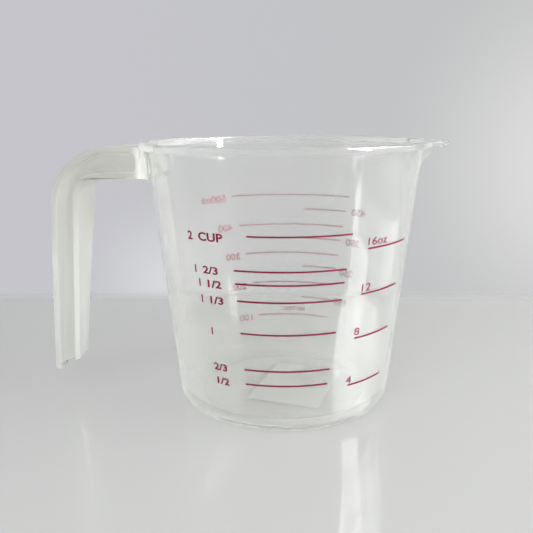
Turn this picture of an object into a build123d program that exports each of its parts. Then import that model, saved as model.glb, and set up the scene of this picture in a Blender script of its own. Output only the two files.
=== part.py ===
from build123d import *
import os
from math import atan2, cos, degrees, radians, sin

os.makedirs("parts", exist_ok=True)

# Measuring jug: a clear moulded beaker with a foot ring, a rim flange that runs out round a
# small pouring spout, an open-ended handle, printed scales and a blank paper label underneath.
# Millimetres. The origin is on the table at the middle of the foot, +Z is up, the spout points
# to +X and the handle to -X, and the cup scale faces -Y. Bearings are degrees from +X.

# Jug body
jug_height = 105.4
foot_cone_radius = 43.2     # outside of the wall, carried down to the table
rim_cone_radius = 54.1      # outside of the wall at the top
wall_thickness = 1.5
floor_thickness = 1.8
foot_recess = 1.0           # the underside lies this far above the foot ring
foot_ring_width = 3.2
foot_edge_chamfer = 0.4      # inside edge of the foot ring
heel_radius = 6.0           # outside, between wall and foot ring
inner_heel_radius = 6.5     # inside, between wall and floor

# Rim flange
rim_thickness = 2.6
rim_overhang = 2.7
rim_edge_chamfer = 0.6       # outer edges, above and below
mouth_edge_chamfer = 0.4

# Pouring spout
spout_depth = 15.5          # from the top down to where its keel runs into the wall
spout_reach = 9.4           # keel beyond the wall, at the top
spout_root_bearing = 14.0   # where the straight sides would meet the wall
spout_nose_radius = 3.0
spout_blend_radius = 12.0

# Handle
handle_drop = 1.7           # top of the handle below the top of the rim
arm_depth = 12.0
finger_gap = 26.5           # between the wall and the grip, under the arm
grip_depth = 10.6           # from its inner face to its outer face
grip_lean = 7.5             # its lower end stands this much further out than its top
handle_foot_height = 8.6    # lower end of the outer strap above the table
web_foot_height = 12.2
inner_strap_foot_height = 15.3
handle_corner_radius = 24.0
finger_corner_radius = 8.0
strap_thickness = 2.4
web_thickness = 1.4
pocket_chamfer = 1.2        # between the web and the straps
arm_half_width = 12.1
foot_half_width = 5.2
foot_flat = 0.8             # left between the rounded corners of the lower end
root_thickness = 3.0        # solid plastic between the wall and the side pockets
root_flare = 6.0            # each side of the arm widens by this where it meets the wall
root_flare_radius = 7.0
root_pad = 0.8              # the flare's thinnest edge on the wall

# Printed scales
ink_thickness = 0.1
line_width = 0.5
# the lines' heights, as shares of the jug's
cup_height_shares = (0.1945, 0.2495, 0.3833, 0.4991, 0.5588, 0.6044)
full_cup_height_share = 0.7211
ounce_height_shares = (0.1717, 0.3491, 0.5076, 0.6651)
long_metric_height_shares = (0.1860, 0.3378, 0.4744, 0.6044, 0.7381)
short_metric_height_shares = (0.2685, 0.4127, 0.5417, 0.6736)
# bearings of the lines' ends, at the foot and at the rim, since the print spreads with the cone
cup_start_bearings = (253.6, 247.8)
full_cup_start_bearings = (256.0, 256.0)
cup_end_bearings = (287.8, 301.0)
ounce_start_bearings = (300.2, 308.2)
ounce_end_bearings = (321.0, 338.0)
metric_start_bearings = (64.5, 48.6)
long_metric_end_bearings = (101.5, 125.0)
short_metric_end_bearings = (79.5, 77.8)

# Paper label
label_width = 30.0
label_length = 40.0
label_thickness = 0.12
label_offset = 5.4          # its middle lies this far from the axis, towards the spout
label_turn = -18.0

overrun = 1.0


def wall_radius(height):
    """Outside radius of the conical wall at a height above the table."""
    return foot_cone_radius + (rim_cone_radius - foot_cone_radius) * height / jug_height


def between(ends, height):
    """Value at a height, from its values at the foot and at the rim."""
    return ends[0] + (ends[1] - ends[0]) * height / jug_height


spout_base = jug_height - spout_depth
floor_top = foot_recess + floor_thickness
recess_radius = foot_cone_radius - heel_radius - foot_ring_width

# Plan of the wall's outside at the rim: the round mouth with the spout's nose blended into it
root_x = rim_cone_radius * cos(radians(spout_root_bearing))
root_y = rim_cone_radius * sin(radians(spout_root_bearing))
rim_plane = Plane.XY.offset(jug_height)
with BuildSketch(rim_plane) as mouth:
    Circle(rim_cone_radius)
    Polygon((0, 0), (root_x, -root_y), (rim_cone_radius + spout_reach, 0), (root_x, root_y), align=None)
    fillet(mouth.vertices().sort_by(Axis.X)[-1], spout_nose_radius)
    for y in (-root_y, root_y):
        fillet(mouth.vertices().sort_by_distance((root_x, y))[0], spout_blend_radius)


def spout_wedge(inset):
    """The spout's swelling of the wall, as a loft from a sector of the cone up to the mouth.

    The sector ends at the bearings where the mouth leaves its circle, and its arc is cut at the
    bearings of the mouth's corners, so that each short arc rises to one edge of the mouth.
    """
    with BuildSketch(rim_plane) as top:
        add(mouth.sketch)
        if inset:
            offset(amount=-inset, mode=Mode.REPLACE)
        corners = sorted(top.vertices(), key=lambda v: v.Y)
        first, last = corners[0], corners[-1]
        Polygon((0, 0), (2 * first.X, 2 * first.Y), (2 * last.X, 2 * last.Y), align=None, mode=Mode.INTERSECT)
    radius = wall_radius(spout_base) - inset
    bearings = [degrees(atan2(v.Y, v.X)) for v in corners]
    arcs = [
        CenterArc((0, 0, spout_base), radius, start, end - start)
        for start, end in zip(bearings, bearings[1:])
    ]
    sides = [Line((0, 0, spout_base), arcs[0] @ 0), Line(arcs[-1] @ 1, (0, 0, spout_base))]
    return loft([Face(Wire([sides[0], *arcs, sides[1]])), top.sketch.face()], ruled=True)


outside_wedge = spout_wedge(0)
inside_wedge = spout_wedge(wall_thickness)

# Outside of the jug as one solid, without its hollow: the handle's root is cut with it too
with BuildPart() as jug_outside:
    with BuildSketch(rim_plane):
        add(mouth.sketch)
        offset(amount=rim_overhang, mode=Mode.REPLACE)
    extrude(amount=-rim_thickness)
    chamfer(jug_outside.edges().filter_by(Axis.Z, reverse=True), rim_edge_chamfer)
    with BuildSketch(Plane.XZ) as outside_half:
        Polygon(
            (0, foot_recess),
            (recess_radius, foot_recess),
            (recess_radius, 0),
            (foot_cone_radius, 0),
            (rim_cone_radius, jug_height),
            (0, jug_height),
            align=None,
        )
        fillet(outside_half.vertices().sort_by_distance((foot_cone_radius, 0))[0], heel_radius)
        chamfer(outside_half.vertices().sort_by_distance((recess_radius, 0))[0], foot_edge_chamfer)
    revolve(axis=Axis.Z)
    add(outside_wedge)

with BuildPart() as jug_body:
    add(jug_outside.part)
    with BuildSketch(Plane.XZ) as inside_half:
        Polygon(
            (0, floor_top),
            (wall_radius(floor_top) - wall_thickness, floor_top),
            (rim_cone_radius - wall_thickness, jug_height),
            (0, jug_height),
            align=None,
        )
        fillet(inside_half.vertices().group_by(Axis.Y)[0].sort_by(Axis.X)[-1], inner_heel_radius)
    revolve(axis=Axis.Z, mode=Mode.SUBTRACT)
    add(inside_wedge, mode=Mode.SUBTRACT)
    rim_top = jug_body.faces().sort_by(Axis.Z)[-1]
    chamfer(rim_top.inner_wires()[0].edges(), mouth_edge_chamfer)
jug_body.part.label = "jug_body"
export_step(jug_body.part, "parts/jug_body.step")

# Handle: a side profile cut to the handle's widths, then hollowed from both sides to leave two
# straps with a web between them
handle_top = jug_height - handle_drop
arm_bottom = handle_top - arm_depth
root_radius = wall_radius(arm_bottom) - wall_thickness
finger_reach_top = wall_radius(arm_bottom) + finger_gap
finger_reach_foot = finger_reach_top + grip_lean
handle_reach_top = finger_reach_top + grip_depth
handle_reach_foot = handle_reach_top + grip_lean


def reach(ends, height, top, foot):
    """Distance from the axis of a leaning face of the grip, at a height between its ends."""
    return ends[0] + (ends[1] - ends[0]) * (top - height) / (top - foot)


def outer_reach(height):
    return reach((handle_reach_top, handle_reach_foot), height, handle_top, handle_foot_height)


def finger_reach(height):
    return reach((finger_reach_top, finger_reach_foot), height, arm_bottom, handle_foot_height)


pocket_end = wall_radius(handle_top) + root_thickness

# Everything that the handle's widths allow: the front view, which tapers below the arm to a
# rounded lower end, and the flare that spreads the arm along the wall
with BuildPart() as handle_widths:
    with BuildSketch(Plane.YZ) as front:
        Polygon(
            (-foot_half_width, handle_foot_height),
            (foot_half_width, handle_foot_height),
            (arm_half_width, arm_bottom),
            (arm_half_width, handle_top),
            (-arm_half_width, handle_top),
            (-arm_half_width, arm_bottom),
            align=None,
        )
        fillet(front.vertices().group_by(Axis.Y)[0], foot_half_width - foot_flat / 2)
    extrude(amount=-handle_reach_foot - overrun)
    with BuildSketch(Plane.XY.offset(arm_bottom)) as root_plan:
        Circle(wall_radius(handle_top) + root_pad)
        Rectangle(handle_reach_top, 2 * arm_half_width, align=(Align.MAX, Align.CENTER))
        corners = root_plan.vertices().filter_by(lambda v: -root_radius - root_thickness < v.X < -root_pad)
        fillet(corners, root_flare_radius)
        Rectangle(
            handle_reach_top,
            2 * (arm_half_width + root_flare),
            align=(Align.MAX, Align.CENTER),
            mode=Mode.INTERSECT,
        )
    extrude(amount=arm_depth)

with BuildPart() as handle:
    # side profile, seen along the web
    with BuildSketch(Plane.XZ) as side:
        Polygon(
            (-root_radius, handle_top),
            (-handle_reach_top, handle_top),
            (-handle_reach_foot, handle_foot_height),
            (-finger_reach_foot, handle_foot_height),
            (-finger_reach_top, arm_bottom),
            (-root_radius, arm_bottom),
            align=None,
        )
        fillet(side.vertices().group_by(Axis.Y)[-1].sort_by(Axis.X)[0], handle_corner_radius)
        finger_corner = side.vertices().sort_by_distance((-finger_reach_top, arm_bottom))[0]
        fillet(finger_corner, finger_corner_radius)
    extrude(amount=arm_half_width + root_flare, both=True)
    # side pockets, open at the handle's lower end
    for face_of_web in (Plane.XZ.offset(web_thickness / 2), Plane.XZ.offset(-web_thickness / 2)):
        with BuildSketch(face_of_web) as pocket:
            Polygon(
                (-pocket_end, handle_top - strap_thickness),
                (-handle_reach_top + strap_thickness, handle_top - strap_thickness),
                (-handle_reach_foot + strap_thickness, handle_foot_height),
                (-finger_reach_foot - strap_thickness, handle_foot_height),
                (-finger_reach_top - strap_thickness, arm_bottom + strap_thickness),
                (-pocket_end, arm_bottom + strap_thickness),
                align=None,
            )
            fillet(pocket.vertices().group_by(Axis.X)[-1], strap_thickness)
            high_corner = pocket.vertices().group_by(Axis.Y)[-1].sort_by(Axis.X)[0]
            fillet(high_corner, handle_corner_radius - strap_thickness)
            low_corner = (-finger_reach_top - strap_thickness, arm_bottom + strap_thickness)
            fillet(pocket.vertices().sort_by_distance(low_corner)[0], finger_corner_radius + strap_thickness)
        outward = 1 if face_of_web.origin.Y < 0 else -1
        extrude(amount=outward * (arm_half_width + root_flare), mode=Mode.SUBTRACT)
    web_faces = handle.faces().filter_by(Axis.Y).filter_by(lambda f: abs(f.center().Y) < web_thickness)
    pocket_edges = web_faces.edges().filter_by(lambda e: e.center().Z > inner_strap_foot_height)
    chamfer(pocket_edges, pocket_chamfer)
    # web and inner strap stop short of the outer strap's end
    with BuildSketch(Plane.XZ):
        Polygon(
            (-outer_reach(web_foot_height) + strap_thickness, web_foot_height),
            (-finger_reach(inner_strap_foot_height), inner_strap_foot_height),
            (-finger_reach_top, inner_strap_foot_height),
            (-finger_reach_top, handle_foot_height - overrun),
            (-handle_reach_foot + strap_thickness, handle_foot_height - overrun),
            align=None,
        )
    extrude(amount=arm_half_width + root_flare, both=True, mode=Mode.SUBTRACT)
    add(handle_widths.part, mode=Mode.INTERSECT)
    add(jug_outside.part, mode=Mode.SUBTRACT)
handle.part.label = "handle"
export_step(handle.part, "parts/handle.step")


def printed_line(height_share, starts, ends):
    """One printed line on the outside of the wall.

    It lies at a share of the jug's height. Its two ends are bearings round the axis, each given
    at the foot and at the rim.
    """
    height = height_share * jug_height
    start = between(starts, height)
    end = between(ends, height)
    low, high = height - line_width / 2, height + line_width / 2
    across = Plane(
        origin=(0, 0, 0),
        x_dir=(cos(radians(start)), sin(radians(start)), 0),
        z_dir=(sin(radians(start)), -cos(radians(start)), 0),
    )
    section = across * Polygon(
        (wall_radius(low), low),
        (wall_radius(low) + ink_thickness, low),
        (wall_radius(high) + ink_thickness, high),
        (wall_radius(high), high),
        align=None,
    )
    return revolve(section, axis=Axis.Z, revolution_arc=end - start)


# Cup scale, on the front; the line beside the unit's name starts later
cup_lines = [printed_line(share, cup_start_bearings, cup_end_bearings) for share in cup_height_shares]
full_line = printed_line(full_cup_height_share, full_cup_start_bearings, cup_end_bearings)
with BuildPart() as cup_scale:
    add(cup_lines)
    add(full_line)
cup_scale.part.label = "cup_scale"
export_step(cup_scale.part, "parts/cup_scale.step")

# Ounce scale, on the front to the right
ounce_lines = [
    printed_line(share, ounce_start_bearings, ounce_end_bearings) for share in ounce_height_shares
]
with BuildPart() as ounce_scale:
    add(ounce_lines)
ounce_scale.part.label = "ounce_scale"
export_step(ounce_scale.part, "parts/ounce_scale.step")

# Millilitre scale, on the back: long lines at the hundreds and short ones between
metric_lines = [
    printed_line(share, metric_start_bearings, end_bearings)
    for shares, end_bearings in (
        (long_metric_height_shares, long_metric_end_bearings),
        (short_metric_height_shares, short_metric_end_bearings),
    )
    for share in shares
]
with BuildPart() as millilitre_scale:
    add(metric_lines)
millilitre_scale.part.label = "millilitre_scale"
export_step(millilitre_scale.part, "parts/millilitre_scale.step")

# Paper label, stuck to the underside of the floor inside the foot ring
with BuildPart() as base_label:
    with BuildSketch(Plane.XY.offset(foot_recess)):
        with Locations((label_offset, 0)):
            Rectangle(label_width, label_length, rotation=label_turn)
    extrude(amount=-label_thickness)
base_label.part.label = "base_label"
export_step(base_label.part, "parts/base_label.step")
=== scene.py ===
from math import atan2, cos, degrees, hypot, pi, radians, sin, sqrt

import bmesh
import bpy
from mathutils import Matrix, Vector


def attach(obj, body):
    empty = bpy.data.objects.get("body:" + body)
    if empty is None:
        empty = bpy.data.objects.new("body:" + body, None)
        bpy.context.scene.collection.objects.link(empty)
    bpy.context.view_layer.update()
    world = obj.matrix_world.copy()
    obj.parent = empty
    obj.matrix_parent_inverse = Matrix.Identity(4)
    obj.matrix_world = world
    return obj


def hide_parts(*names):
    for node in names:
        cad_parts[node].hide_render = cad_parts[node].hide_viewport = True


# A clear measuring jug on a pale table. Lengths are typed in millimetres and multiplied by mm.
# Z is up, the spout points to +X, the handle to -X, and the cup scale faces the camera at -Y.
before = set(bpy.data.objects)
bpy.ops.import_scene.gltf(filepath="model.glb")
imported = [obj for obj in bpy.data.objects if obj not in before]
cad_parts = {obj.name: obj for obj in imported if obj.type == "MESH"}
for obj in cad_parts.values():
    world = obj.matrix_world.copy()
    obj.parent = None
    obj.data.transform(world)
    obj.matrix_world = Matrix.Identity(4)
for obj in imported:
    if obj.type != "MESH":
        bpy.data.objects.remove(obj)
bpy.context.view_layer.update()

mm = 0.001

# Jug body
jug_height = 105.4
foot_radius = 43.2          # the wall's outside, carried down to the table
rim_radius = 54.1           # the wall's outside at the top
wall = 1.5
floor_top = 2.8
underside = 1.0
recess_radius = 34.0
recess_edge = 0.3           # rounding of the foot ring's inner edge
heel_radius = 6.0
inner_heel_radius = 6.5
mouth_edge = 0.5            # rounding of the mouth's inner edge
flange_thickness = 2.6
flange_overhang = 2.7
flange_upper_edge = 0.9     # roundings of the flange's outer edges
flange_lower_edge = 0.6
flange_corner = 0.45        # rounding between the flange and the wall
spout_depth = 11.0
spout_reach = 9.4
spout_root_bearing = 14.0
spout_nose_radius = 3.0
spout_blend_radius = 12.0
spout_keel_blend = 0.06     # share of its depth over which the keel runs into the wall

# Handle
edge_rounding = 0.5
root_sink = 0.8             # how far its root goes into the wall
root_slack = 0.05           # a point this near to the wall or the flange lies on it

# Print
line_spread = 0.08          # added all round the frame's lines, to show the real weight of print
letter_middle = 0.065       # the middle of a letter's thickness, from the wall
letter_thickness = 0.07

# Table
table_level = -0.03         # just under the foot ring, so that the two don't meet
table_half = 1500
table_back = 165
table_fade = 130            # from here to just before its back edge it fades out

# Camera, in pixels of the picture
focal_length = 650
picture_width = 533


def wall_radius(height):
    """Outside radius of the conical wall at a height above the table."""
    return foot_radius + (rim_radius - foot_radius) * height / jug_height


def direction(bearing):
    return Vector((cos(bearing), sin(bearing)))


def arc(centre, radius, start, end, steps):
    """Points of an arc in a plane, both ends included, with each point's direction from the centre."""
    bearings = [start + (end - start) * i / steps for i in range(steps + 1)]
    return [(Vector(centre) + radius * direction(b), direction(b)) for b in bearings]


def mouth_outline():
    """Outside of the wall at the rim, as points with outward directions, all the way round from
    the spout's nose: the nose, a straight side, a blend into the round mouth, and the same back."""
    curve_steps, side_steps, round_steps = 14, 12, 420
    root = rim_radius * direction(radians(spout_root_bearing))
    peak = Vector((rim_radius + spout_reach, 0))
    side = (peak - root).normalized()
    out = Vector((-side.y, side.x))
    lean = atan2(out.y, out.x)
    nose_centre = Vector((peak.x - spout_nose_radius / out.x, 0))
    blend_start = root + spout_blend_radius * out
    along = blend_start.dot(side)
    clearance = (rim_radius + spout_blend_radius) ** 2 - blend_start.length_squared
    blend_centre = blend_start + (sqrt(along ** 2 + clearance) - along) * side
    blend_bearing = atan2(blend_centre.y, blend_centre.x)
    half = arc(nose_centre, spout_nose_radius, 0, lean, curve_steps)
    nose_end = half[-1][0]
    blend = arc(blend_centre, spout_blend_radius, pi + lean, pi + blend_bearing, curve_steps)
    for i in range(1, side_steps):
        half.append((nose_end.lerp(blend[0][0], i / side_steps), out))
    half += [(point, -away) for point, away in blend]
    round_part = arc((0, 0), rim_radius, blend_bearing, 2 * pi - blend_bearing, round_steps)
    flip = Vector((1, -1))
    other_half = [(point * flip, out * flip) for point, out in reversed(half)]
    return half + round_part[1:-1] + other_half[:-1]


def swelling(height):
    """How far the spout has grown at a height: 0 where its keel starts, 1 at the rim."""
    rise = (height - jug_height + spout_depth) / spout_depth
    if rise <= -spout_keel_blend:
        return 0
    if rise >= spout_keel_blend:
        return rise
    return (rise + spout_keel_blend) ** 2 / (4 * spout_keel_blend)


def wall_point(column, height, proud=0):
    """Point standing proud of the wall's outside by a distance, at a height, for one column."""
    point, out = column
    bearing = point.normalized()
    grown = swelling(height)
    place = wall_radius(height) * bearing + grown * (point - rim_radius * bearing)
    return place + proud * bearing.lerp(out, min(1, max(0, grown))).normalized()


def body_rows():
    """The jug's section as rows of (kind, distance, height), from the middle of the inside of the
    floor, up the inside, over the rim, down the outside and in under the floor. The distance is a
    radius from the axis, or how far the row stands out from the wall or from its line at the rim."""
    slope = atan2(rim_radius - foot_radius, jug_height)

    # Up the inside, with close rows where the spout's keel begins
    rows = [("radius", r, floor_top) for r in (8, 16, 24, 31)]
    centre_height = floor_top + inner_heel_radius
    centre_radius = wall_radius(centre_height) - wall - inner_heel_radius / cos(slope)
    rows.append(("radius", centre_radius - 0.3, floor_top))
    for place, _ in arc((centre_radius, centre_height), inner_heel_radius, -pi / 2, -slope, 18):
        rows.append(("radius", place.x, place.y))
    low = rows[-1][2]
    heights = [low + 0.3, low + 4] + [low + 4 + (82 - low) * i / 12 for i in range(1, 13)]
    heights += [86.6, 90, 93]
    heights += [93.6 + 0.2 * i for i in range(8)]
    heights += [95.6 + 1.1 * i for i in range(8)]
    rows += [("wall", -wall, h) for h in heights]

    # Over the mouth's edge and the flange
    mouth_middle = (-wall + mouth_edge, jug_height - mouth_edge)
    for place, _ in arc(mouth_middle, mouth_edge, pi, pi / 2, 5):
        rows.append(("wall", place.x, place.y))
    rows += [("rim", o, jug_height) for o in (-0.9, -0.3, 0.6, 1.2, 1.7)]
    upper_middle = (flange_overhang - flange_upper_edge, jug_height - flange_upper_edge)
    for place, _ in arc(upper_middle, flange_upper_edge, pi / 2, 0, 7):
        rows.append(("rim", place.x, place.y))
    flange_bottom = jug_height - flange_thickness
    lower_middle = (flange_overhang - flange_lower_edge, flange_bottom + flange_lower_edge)
    for place, _ in arc(lower_middle, flange_lower_edge, 0, -pi / 2, 6):
        rows.append(("rim", place.x, place.y))
    rows.append(("wall", 2 * flange_corner, flange_bottom))
    corner_middle = (flange_corner, flange_bottom - flange_corner)
    for place, _ in arc(corner_middle, flange_corner, pi / 2, pi, 5):
        rows.append(("wall", place.x, place.y))

    # Down the outside and round the heel
    centre_radius = wall_radius(heel_radius) - heel_radius / cos(slope)
    heel = arc((centre_radius, heel_radius), heel_radius, -slope, -pi / 2, 18)
    high = heel[0][0].y
    down = [h for h in reversed(heights) if high + 1 < h < flange_bottom - 0.8]
    rows += [("wall", 0, h) for h in down + [high + 0.3]]
    rows += [("radius", place.x, place.y) for place, _ in heel]

    # The foot ring and the underside
    rows += [("radius", centre_radius - 0.2, 0), ("radius", recess_radius + 0.5, 0)]
    recess_middle = (recess_radius + recess_edge, recess_edge)
    rows += [("radius", p.x, p.y) for p, _ in arc(recess_middle, recess_edge, -pi / 2, -pi, 4)]
    rows += [("radius", recess_radius, underside - 0.05), ("radius", recess_radius - 0.05, underside)]
    rows += [("radius", r, underside) for r in (recess_radius - 0.4, 27, 18, 9)]
    return rows


def body_mesh():
    """The jug body as a bmesh: the rows joined round all the columns, closed at both middles."""
    columns = mouth_outline()
    mesh = bmesh.new()
    rings = []
    for kind, distance, height in body_rows():
        ring = []
        for column in columns:
            if kind == "radius":
                place = distance * column[0].normalized()
            elif kind == "rim":
                place = column[0] + distance * column[1]
            else:
                place = wall_point(column, height, distance)
            ring.append(mesh.verts.new((place.x * mm, place.y * mm, height * mm)))
        rings.append(ring)
    count = len(columns)
    for lower, upper in zip(rings, rings[1:]):
        for i in range(count):
            j = (i + 1) % count
            mesh.faces.new((lower[i], lower[j], upper[j], upper[i]))
    for ring, height, inward in ((rings[0], floor_top, 1), (rings[-1], underside, -1)):
        middle = mesh.verts.new((0, 0, height * mm))
        for i in range(count):
            j = (i + 1) % count
            mesh.faces.new((ring[i], middle, ring[j])[::inward])
    bmesh.ops.recalc_face_normals(mesh, faces=mesh.faces)
    return mesh


def on_body(vertex):
    """Whether a point of the handle lies on the wall or against the flange's underside."""
    radius = hypot(vertex.co.x, vertex.co.y) / mm
    height = vertex.co.z / mm
    beside_flange = height > jug_height - flange_thickness - root_slack
    within_flange = radius < rim_radius + flange_overhang + root_slack
    return radius < wall_radius(height) + root_slack or (beside_flange and within_flange)


def handle_mesh():
    """The frame's handle with its edges rounded and its root carried half way into the wall, so
    that it joins the body as one moulding."""
    mesh = bmesh.new()
    mesh.from_mesh(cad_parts["handle"].data)
    bmesh.ops.remove_doubles(mesh, verts=mesh.verts, dist=0.002 * mm)
    bmesh.ops.dissolve_limit(mesh, angle_limit=radians(1), verts=mesh.verts, edges=mesh.edges)
    rooted = {v for v in mesh.verts if on_body(v)}
    edges = [
        e for e in mesh.edges
        if len(e.link_faces) == 2
        and e.calc_face_angle() > radians(25)
        and not rooted.issuperset(e.verts)
    ]
    bmesh.ops.bevel(
        mesh, geom=edges, offset=edge_rounding * mm, segments=3, profile=0.5, affect="EDGES",
        clamp_overlap=False,
    )
    for vertex in [v for v in mesh.verts if on_body(v)]:
        radius = hypot(vertex.co.x, vertex.co.y)
        vertex.co.xy *= (radius - root_sink * mm) / radius
    return mesh


def new_object(name, mesh):
    data = bpy.data.meshes.new(name)
    mesh.to_mesh(data)
    mesh.free()
    piece = bpy.data.objects.new(name, data)
    bpy.context.scene.collection.objects.link(piece)
    return piece


def linear(hex_colour):
    """sRGB hex to the linear colour that the nodes take."""
    parts = [int(hex_colour[i:i + 2], 16) / 255 for i in (1, 3, 5)]
    return tuple(p / 12.92 if p <= 0.04045 else ((p + 0.055) / 1.055) ** 2.4 for p in parts) + (1,)


def add_node(tree, kind, settings=None, **values):
    """Adds a node. Settings are its properties. Values are sockets, by name or by number as in i0,
    and each is a constant or an output to link."""
    node = tree.nodes.new(kind)
    for name, value in (settings or {}).items():
        setattr(node, name, value)
    for name, value in values.items():
        numbered = name[0] == "i" and name[1:].isdigit()
        socket = node.inputs[int(name[1:]) if numbered else name.replace("_", " ")]
        if isinstance(value, bpy.types.NodeSocket):
            tree.links.new(value, socket)
        else:
            socket.default_value = value
    return node


def new_material(name):
    material = bpy.data.materials.new(name)
    material.use_nodes = True
    material.node_tree.nodes.clear()
    return material, material.node_tree


def clear_polypropylene():
    """Clarified polypropylene, injection moulded and left glossy: clear with a faint milky haze in
    the thin wall, and milky and grey-green where it is thick, as in the rim, foot and handle."""
    material, tree = new_material("moulded_clarified_polypropylene")
    place = add_node(tree, "ShaderNodeNewGeometry")
    along = add_node(tree, "ShaderNodeSeparateXYZ", i0=place.outputs["Position"])

    # 1 on the handle: behind the jug and standing out from the cone of the wall
    flat = add_node(tree, "ShaderNodeCombineXYZ", i0=along.outputs[0], i1=along.outputs[1])
    radius = add_node(tree, "ShaderNodeVectorMath", {"operation": "LENGTH"}, i0=flat.outputs[0])
    slope = (rim_radius - foot_radius) / jug_height
    leaning = add_node(
        tree, "ShaderNodeMath", {"operation": "MULTIPLY_ADD"},
        i0=along.outputs[2], i1=-slope, i2=radius.outputs["Value"],
    )
    behind = add_node(
        tree, "ShaderNodeMapRange", {"interpolation_type": "SMOOTHSTEP"}, i0=along.outputs[0],
        i1=-36 * mm, i2=-50 * mm, i3=0.0, i4=1.0,
    )
    outward = add_node(
        tree, "ShaderNodeMapRange", {"interpolation_type": "SMOOTHSTEP"}, i0=leaning.outputs[0],
        i1=(foot_radius + 0.1) * mm, i2=(foot_radius + 1.6) * mm, i3=0.0, i4=1.0,
    )
    rooted = add_node(
        tree, "ShaderNodeMath", {"operation": "MULTIPLY"}, i0=outward.outputs[0], i1=behind.outputs[0]
    )

    # The haze's colour, with painted light and shade on the handle: painted shade in its pockets,
    # found by ambient occlusion, a painted highlight on faces turned to front or back, darker on its
    # broad faces, and darker up in its arm
    painted_shade_occlusion = add_node(
        tree, "ShaderNodeAmbientOcclusion", {"samples": 8, "only_local": True}, Distance=9 * mm
    )
    open_air = add_node(
        tree, "ShaderNodeMapRange", i0=painted_shade_occlusion.outputs["AO"], i1=0.35, i2=0.95, i3=0.0, i4=1.0
    )
    facing = add_node(tree, "ShaderNodeSeparateXYZ", i0=place.outputs["Normal"])
    sideways = add_node(tree, "ShaderNodeMath", {"operation": "ABSOLUTE"}, i0=facing.outputs[1])
    # Painted highlight: faces turned to front or back are made lighter than the broad faces
    edge = add_node(
        tree, "ShaderNodeMapRange", i0=sideways.outputs[0], i1=0.3, i2=0.9, i3=0.15, i4=0.9
    )
    lit = add_node(
        tree, "ShaderNodeMath", {"operation": "MULTIPLY"}, i0=open_air.outputs[0], i1=edge.outputs[0]
    )
    # Mix of the painted shade colour and the painted highlight colour
    painted_light_and_shade = add_node(
        tree, "ShaderNodeMix", {"data_type": "RGBA"},
        i0=lit.outputs[0], i6=linear("#CCCEC9"), i7=linear("#F3F4F0"),
    )
    high = add_node(
        tree, "ShaderNodeMapRange", i0=along.outputs[2], i1=60 * mm, i2=95 * mm, i3=0.0, i4=0.95
    )
    lofty = add_node(
        tree, "ShaderNodeMix", {"data_type": "RGBA"},
        i0=high.outputs[0], i6=painted_light_and_shade.outputs[2], i7=linear("#C4C5BF"),
    )
    haze_and_painted_light = add_node(
        tree, "ShaderNodeMix", {"data_type": "RGBA"},
        i0=rooted.outputs[0], i6=linear("#CBCDCA"), i7=lofty.outputs[2],
    )

    # The haze's share: half in the handle, less in the wall from the foot upward, more in the rim,
    # and more where the wall is seen edge on and one looks through more of it
    rough = add_node(tree, "ShaderNodeMapRange", i0=rooted.outputs[0], i3=0.05, i4=0.35)
    handle_haze = add_node(
        tree, "ShaderNodeMath", {"operation": "MULTIPLY"}, i0=rooted.outputs[0], i1=0.5
    )
    upward = add_node(
        tree, "ShaderNodeMapRange", {"interpolation_type": "SMOOTHSTEP"}, i0=along.outputs[2],
        i1=2.0 * mm, i2=50.0 * mm, i3=0.20, i4=0.09,
    )
    rim = add_node(
        tree, "ShaderNodeMapRange", i0=along.outputs[2], i1=102.4 * mm, i2=103.2 * mm, i3=0.0, i4=0.2
    )
    thin = add_node(tree, "ShaderNodeMath", i0=upward.outputs[0], i1=rim.outputs[0])
    thick = add_node(
        tree, "ShaderNodeMath", {"operation": "MAXIMUM"}, i0=handle_haze.outputs[0], i1=thin.outputs[0]
    )
    edge_on = add_node(tree, "ShaderNodeLayerWeight", Blend=0.5)
    slanting = add_node(
        tree, "ShaderNodeMath", {"operation": "POWER"}, i0=edge_on.outputs["Facing"], i1=2.0
    )
    milky = add_node(
        tree, "ShaderNodeMath", {"operation": "MULTIPLY_ADD"},
        i0=slanting.outputs[0], i1=0.12, i2=thick.outputs[0],
    )

    # A second gloss, on the handle and low on the wall's right side, where it mirrors the window
    lower = add_node(
        tree, "ShaderNodeMapRange", {"interpolation_type": "SMOOTHSTEP"}, i0=along.outputs[2],
        i1=62 * mm, i2=44 * mm, i3=0.0, i4=1.0,
    )
    window_side = add_node(
        tree, "ShaderNodeMapRange", {"interpolation_type": "SMOOTHSTEP"}, i0=along.outputs[0],
        i1=-8 * mm, i2=12 * mm, i3=0.0, i4=1.0,
    )
    polished = add_node(
        tree, "ShaderNodeMath", {"operation": "MULTIPLY"},
        i0=lower.outputs[0], i1=window_side.outputs[0],
    )
    gloss = add_node(
        tree, "ShaderNodeMath", {"operation": "MAXIMUM"}, i0=rooted.outputs[0], i1=polished.outputs[0]
    )

    clear = add_node(
        tree, "ShaderNodeBsdfPrincipled",
        Base_Color=linear("#F9F9F8"), Roughness=rough.outputs[0], IOR=1.49, Transmission_Weight=1.0,
        Coat_Weight=gloss.outputs[0], Coat_Roughness=0.06,
    )
    # The haze takes that colour, with its painted light and shade on the handle
    near = add_node(tree, "ShaderNodeBsdfDiffuse", Color=haze_and_painted_light.outputs[2])
    beyond = add_node(tree, "ShaderNodeBsdfTranslucent", Color=haze_and_painted_light.outputs[2])
    haze = add_node(tree, "ShaderNodeMixShader", i0=0.5, i1=near.outputs[0], i2=beyond.outputs[0])
    body = add_node(
        tree, "ShaderNodeMixShader", i0=milky.outputs[0], i1=clear.outputs[0], i2=haze.outputs[0]
    )

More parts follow.
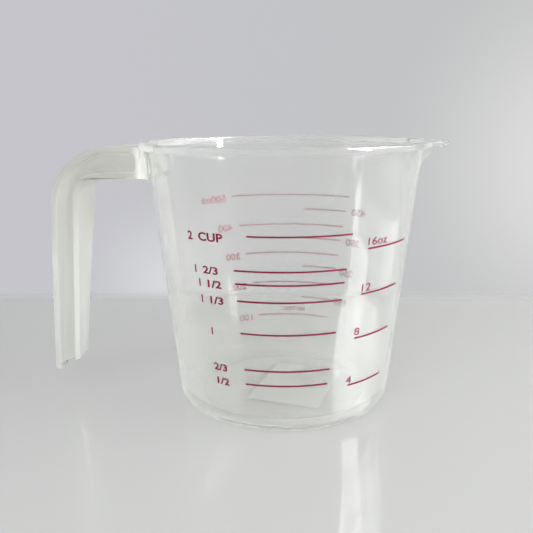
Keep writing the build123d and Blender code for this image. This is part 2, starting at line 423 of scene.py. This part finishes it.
    # Light that reaches the table through the plastic is only dimmed, more so near the foot
    path = add_node(tree, "ShaderNodeLightPath")
    low = add_node(tree, "ShaderNodeMapRange", i0=along.outputs[2], i1=4 * mm, i2=40 * mm)
    dimmed = add_node(
        tree, "ShaderNodeMix", {"data_type": "RGBA"},
        i0=low.outputs[0], i6=linear("#D6D6D4"), i7=linear("#E7E7E5"),
    )
    shade = add_node(tree, "ShaderNodeBsdfTransparent", Color=dimmed.outputs[2])
    surface = add_node(
        tree, "ShaderNodeMixShader",
        i0=path.outputs["Is Shadow Ray"], i1=body.outputs[0], i2=shade.outputs[0],
    )
    add_node(tree, "ShaderNodeOutputMaterial", Surface=surface.outputs[0])
    return material


def printed_ink():
    """Crimson pad-printing ink, a thin satin film with hardly any shine."""
    material, tree = new_material("pad_printed_ink")
    film = add_node(
        tree, "ShaderNodeBsdfPrincipled",
        Base_Color=linear("#7C0030"), Roughness=0.6, Specular_IOR_Level=0.1,
    )
    add_node(tree, "ShaderNodeOutputMaterial", Surface=film.outputs[0])
    return material


def label_paper():
    """Uncoated label paper, matt and left blank. Its grey is partly painted shade, where it lies under
    the jug, and partly the look of paper wetted by its glue.
    """
    material, tree = new_material("label_paper")
    sheet = add_node(
        # Grey instead of white: painted shade, with some of the wet look of glued paper
        tree, "ShaderNodeBsdfPrincipled", Base_Color=linear("#C6C7C4"), Roughness=0.8
    )
    add_node(tree, "ShaderNodeOutputMaterial", Surface=sheet.outputs[0])
    return material


plastic = clear_polypropylene()
ink = printed_ink()
paper = label_paper()

# The moulding: body and handle in one
body = new_object("jug_moulding", body_mesh())
handle = new_object("handle_blank", handle_mesh())
join = body.modifiers.new("join", "BOOLEAN")
join.operation = "UNION"
join.solver = "EXACT"
join.object = handle
bpy.context.view_layer.update()
joined = bpy.data.meshes.new_from_object(body.evaluated_get(bpy.context.evaluated_depsgraph_get()))
body.modifiers.clear()
body.data = joined
bpy.data.objects.remove(handle)
for polygon in joined.polygons:
    polygon.use_smooth = True
joined.set_sharp_from_angle(angle=radians(32))
joined.materials.clear()
joined.materials.append(plastic)
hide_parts("jug_body", "handle")
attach(body, "root")
body.visible_diffuse = False

# The frame's own lines and label
for name in ("cup_scale", "ounce_scale", "millilitre_scale"):
    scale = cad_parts[name]
    scale.data.materials.clear()
    scale.data.materials.append(ink)
    spread = scale.modifiers.new("spread", "DISPLACE")
    spread.mid_level = 0
    spread.strength = line_spread * mm
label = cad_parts["base_label"]
label.data.materials.clear()
label.data.materials.append(paper)

# Numerals and units: each word with the bearings of its start and end, its baseline and its
# height. With no end it is as wide as its letters.
cup_words = (
    ("2", 228.8, 231.4, 73.3, 3.0), ("CUP", 234.6, 246.1, 73.4, 3.0),
    ("1", 230.9, None, 61.4, 2.7), ("2/3", 235.3, 242.7, 61.5, 2.7),
    ("1", 232.5, None, 56.4, 2.7), ("1/2", 237.1, 243.9, 56.5, 2.7),
    ("1", 232.9, None, 50.4, 2.7), ("1/3", 237.7, 244.2, 50.5, 2.7),
    ("1", 236.7, None, 38.3, 2.7),
    ("2/3", 236.2, 243.4, 24.3, 2.7),
    ("1/2", 237.3, 244.0, 18.7, 2.7),
)
ounce_words = (
    ("16oz", 305.4, 316.3, 71.2, 2.8),
    ("12", 304.3, 309.2, 54.4, 2.8),
    ("8", 302.4, 305.3, 37.9, 2.8),
    ("4", 300.3, 303.3, 18.8, 2.8),
)
millilitre_words = (
    ("500ml", 122.7, 138.3, 75.4, 3.1), ("400", 119.7, 129.0, 61.6, 3.1),
    ("300", 116.1, 125.4, 47.7, 3.1), ("200", 112.9, 121.9, 32.9, 3.1),
    ("100", 110.1, 118.8, 17.4, 3.1),
    ("450", 40.9, 50.1, 69.3, 3.1), ("350", 43.0, 52.5, 55.2, 3.1),
    ("250", 46.3, 55.3, 40.6, 3.1), ("150", 49.4, 57.8, 26.3, 3.1),
    ("METRIC", 76.6, 91.1, 21.4, 2.1),
)


def flat_word(text, weight):
    """A word as a flat mesh, one unit wide and one unit high, cut into upright strips so that it
    can bend round the wall, and its own width for its height."""
    curve = bpy.data.curves.new("word", "FONT")
    curve.body = text
    curve.resolution_u = 5
    curve.offset = weight
    curve.extrude = 0.5
    carrier = bpy.data.objects.new("word", curve)
    bpy.context.scene.collection.objects.link(carrier)
    bpy.context.view_layer.update()
    data = bpy.data.meshes.new_from_object(carrier)
    word = bmesh.new()
    word.from_mesh(data)
    bpy.data.objects.remove(carrier)
    bpy.data.meshes.remove(data)
    left, right = min(v.co.x for v in word.verts), max(v.co.x for v in word.verts)
    top = max(v.co.y for v in word.verts)
    strips = 3 * len(text)
    for i in range(1, strips):
        geometry = word.verts[:] + word.edges[:] + word.faces[:]
        cut = (left + (right - left) * i / strips, 0, 0)
        bmesh.ops.bisect_plane(word, geom=geometry, plane_co=cut, plane_no=(1, 0, 0))
    for vertex in word.verts:
        vertex.co.x = (vertex.co.x - left) / (right - left)
        vertex.co.y /= top
    return word, (right - left) / top


def print_words(name, words, weight):
    """Words in ink on the outside of the wall, read from outside, as one piece."""
    whole = bmesh.new()
    for text, start, end, baseline, height in words:
        word, breadth = flat_word(text, weight)
        if end is None:
            end = start + degrees(breadth * height / wall_radius(baseline))
        for vertex in word.verts:
            up = baseline + vertex.co.y * height
            bearing = radians(start + (end - start) * vertex.co.x)
            proud = letter_middle + letter_thickness * vertex.co.z
            out = (wall_radius(up) + proud) * direction(bearing)
            vertex.co = (out.x * mm, out.y * mm, up * mm)
        data = bpy.data.meshes.new("word")
        word.to_mesh(data)
        word.free()
        whole.from_mesh(data)
        bpy.data.meshes.remove(data)
    bmesh.ops.recalc_face_normals(whole, faces=whole.faces)
    piece = new_object(name, whole)
    piece.data.materials.append(ink)
    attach(piece, "root")


print_words("cup_numerals", cup_words, 0.025)
print_words("ounce_numerals", ounce_words, 0.0)
print_words("millilitre_numerals", millilitre_words, 0.03)


def table():
    mesh = bmesh.new()
    front, back = -table_half, table_back
    corners = ((-table_half, front), (table_half, front), (table_half, back), (-table_half, back))
    mesh.faces.new([mesh.verts.new((x * mm, y * mm, table_level * mm)) for x, y in corners])
    return new_object("table_top", mesh)


def table_laminate():
    """Pale laminate with a gloss varnish, which mirrors the jug softly. It fades out where the wall
    behind it begins."""
    material, tree = new_material("gloss_laminate")
    place = add_node(tree, "ShaderNodeNewGeometry")
    along = add_node(tree, "ShaderNodeSeparateXYZ", i0=place.outputs["Position"])
    varnished = add_node(
        tree, "ShaderNodeBsdfPrincipled", Base_Color=linear("#B9BAB8"), Roughness=0.012, IOR=1.5
    )
    fade = add_node(
        tree, "ShaderNodeMapRange", {"interpolation_type": "SMOOTHSTEP"}, i0=along.outputs[1],
        i1=table_fade * mm, i2=(table_back - 2) * mm, i3=0.0, i4=1.0,
    )
    gone = add_node(tree, "ShaderNodeBsdfTransparent")
    surface = add_node(
        tree, "ShaderNodeMixShader", i0=fade.outputs[0], i1=varnished.outputs[0], i2=gone.outputs[0]
    )
    add_node(tree, "ShaderNodeOutputMaterial", Surface=surface.outputs[0])
    return material


top = table()
top.data.materials.append(table_laminate())


def area_light(name, centre, facing, size, brightness, mirrored=False, through=True):
    """A soft rectangle of light, as bright as so many times white. A mirrored one shows only in
    gloss and, where it is let through, in the clear plastic; the others only light surfaces."""
    data = bpy.data.lights.new(name, "AREA")
    data.shape = "RECTANGLE"
    data.size, data.size_y = size[0] * mm, size[1] * mm
    data.energy = brightness * pi * data.size * data.size_y
    light = bpy.data.objects.new(name, data)
    light.location = Vector(centre) * mm
    light.rotation_euler = Vector(facing).to_track_quat("-Z", "Y").to_euler()
    light.visible_camera = False
    light.visible_diffuse = not mirrored
    light.visible_glossy = mirrored
    light.visible_transmission = mirrored and through
    bpy.context.scene.collection.objects.link(light)


# Daylight from the right and from in front
area_light("daylight", (1000, -250, 580), (-1, 0.2, -0.5), (1000, 900), 7.2)
area_light("room_front", (-300, -1000, 800), (0.3, 1, -0.7), (1200, 900), 3.0)

# What the plastic and the table mirror: a tall window to the right of the camera, in two panes
# that brighten upwards. Each part has its left and right edges, its bottom and top, its
# brightness, and whether it shows through the plastic.
window_distance = -600
window_parts = (
    ("low", 1111, 1381, 280, 600, 90, True),
    ("middle", 903.5, 1078.5, 540, 600, 90, True),
    ("foot_left", 903.5, 1078.5, 60, 180, 60, False),
    ("foot_right", 1111, 1381, 60, 180, 60, False),
    ("outer", 793, 903, 490, 600, 200, False),
    ("inner", 903.5, 1078.5, 490, 540, 130, False),
    ("left", 821, 1079, 600, 680, 250, False),
    ("right", 1111, 1381, 600, 680, 260, False),
    ("top_left", 903.5, 1078.5, 680, 1200, 300, False),
    ("top_right", 1111, 1381, 680, 1200, 300, False),
)
for part, left, right, bottom, upper, brightness, through in window_parts:
    area_light(
        "window_" + part, ((left + right) / 2, window_distance, (bottom + upper) / 2), (0, 1, 0),
        (right - left, upper - bottom), brightness, mirrored=True, through=through,
    )

# The bright side of the room, beyond the spout: the near and far edges of each part, its bottom
# and top, and its brightness
room_distance = 1400
room_parts = (
    ("near_low", -600, -200, 455, 600, 30),
    ("near_high", -600, -200, 600, 850, 40),
    ("middle_low", -200, 300, 560, 650, 9),
    ("middle_high", -200, 300, 650, 850, 12),
    ("far", 300, 700, 650, 850, 5),
    ("upper", -600, 100, 850, 1350, 54),
    ("upper_far", 100, 500, 850, 1350, 22),
)
for part, start, end, bottom, upper, brightness in room_parts:
    area_light(
        "bright_" + part, (room_distance, (start + end) / 2, (bottom + upper) / 2), (-1, 0, 0),
        (end - start, upper - bottom), brightness, mirrored=True, through=False,
    )
area_light("bright_low", (1300, 0, 375), (-1, 0, 0), (1500, 170), 5, mirrored=True, through=False)
area_light(
    "bright_left", (-1100, -100, 525), (1, 0, 0), (1000, 550), 1.0, mirrored=True, through=False
)


def room():
    """The room's even light, and the wall behind the table, which the plastic and the gloss show
    too: a little cooler on the left, and lighter on the right and in two soft glows, which are painted
    light on the wall."""
    world = bpy.data.worlds.new("room")
    world.use_nodes = True
    tree = world.node_tree
    tree.nodes.clear()
    path = add_node(tree, "ShaderNodeLightPath")
    seen = add_node(
        tree, "ShaderNodeMath", {"operation": "MAXIMUM"},
        i0=path.outputs["Is Camera Ray"], i1=path.outputs["Is Glossy Ray"],
    )
    through = add_node(
        tree, "ShaderNodeMath", {"operation": "MAXIMUM"},
        i0=seen.outputs[0], i1=path.outputs["Is Transmission Ray"],
    )
    toward = add_node(tree, "ShaderNodeTexCoord")
    along = add_node(tree, "ShaderNodeSeparateXYZ", i0=toward.outputs["Generated"])
    side = add_node(
        tree, "ShaderNodeMapRange", {"interpolation_type": "SMOOTHSTEP"},
        i0=along.outputs[0], i1=-0.4, i2=0.45,
    )
    hue = add_node(
        tree, "ShaderNodeMix", {"data_type": "RGBA"},
        i0=side.outputs[0], i6=linear("#C5C5CB"), i7=linear("#C3C4C4"),
    )
    # Painted light: two soft pools of light on the wall
    glows = (
        ((0.44, 0.9, -0.07), 0.32, 1.0, "#E2E2E1"),
        ((-0.17, 0.95, -0.25), 0.15, 0.8, "#DCDDDF"),
    )
    for centre, reach, share, glow in glows:
        away = add_node(
            tree, "ShaderNodeVectorMath", {"operation": "DISTANCE"},
            i0=toward.outputs["Generated"], i1=centre,
        )
        near = add_node(
            tree, "ShaderNodeMapRange", {"interpolation_type": "SMOOTHSTEP"},
            i0=away.outputs["Value"], i1=0.0, i2=reach, i3=share, i4=0.0,
        )
        hue = add_node(
            tree, "ShaderNodeMix", {"data_type": "RGBA"},
            i0=near.outputs[0], i6=hue.outputs[2], i7=linear(glow),
        )
    ambient = add_node(tree, "ShaderNodeBackground", Color=linear("#F8F8FA"), Strength=0.42)
    backdrop = add_node(tree, "ShaderNodeBackground", Color=hue.outputs[2], Strength=1.0)
    mix = add_node(
        tree, "ShaderNodeMixShader",
        i0=through.outputs[0], i1=ambient.outputs[0], i2=backdrop.outputs[0],
    )
    add_node(tree, "ShaderNodeOutputWorld", Surface=mix.outputs[0])
    bpy.context.scene.world = world


room()
bpy.context.scene.view_settings.view_transform = "Standard"


def camera():
    data = bpy.data.cameras.new("camera")
    data.sensor_width = 36
    data.lens = 36 * focal_length / picture_width
    pitch, yaw, roll = radians(13.34), radians(-1.54), radians(-0.43)
    forward = Vector((sin(yaw) * cos(pitch), cos(yaw) * cos(pitch), -sin(pitch)))
    level = Vector((cos(yaw), -sin(yaw), 0))
    raised = level.cross(forward)
    right = cos(roll) * level + sin(roll) * raised
    up = -sin(roll) * level + cos(roll) * raised
    eye = bpy.data.objects.new("camera", data)
    turn = Matrix((right, up, -forward)).transposed().to_4x4()
    eye.matrix_world = Matrix.Translation(Vector((0, -262.5, 116.3)) * mm) @ turn
    bpy.context.scene.collection.objects.link(eye)
    bpy.context.scene.camera = eye


camera()
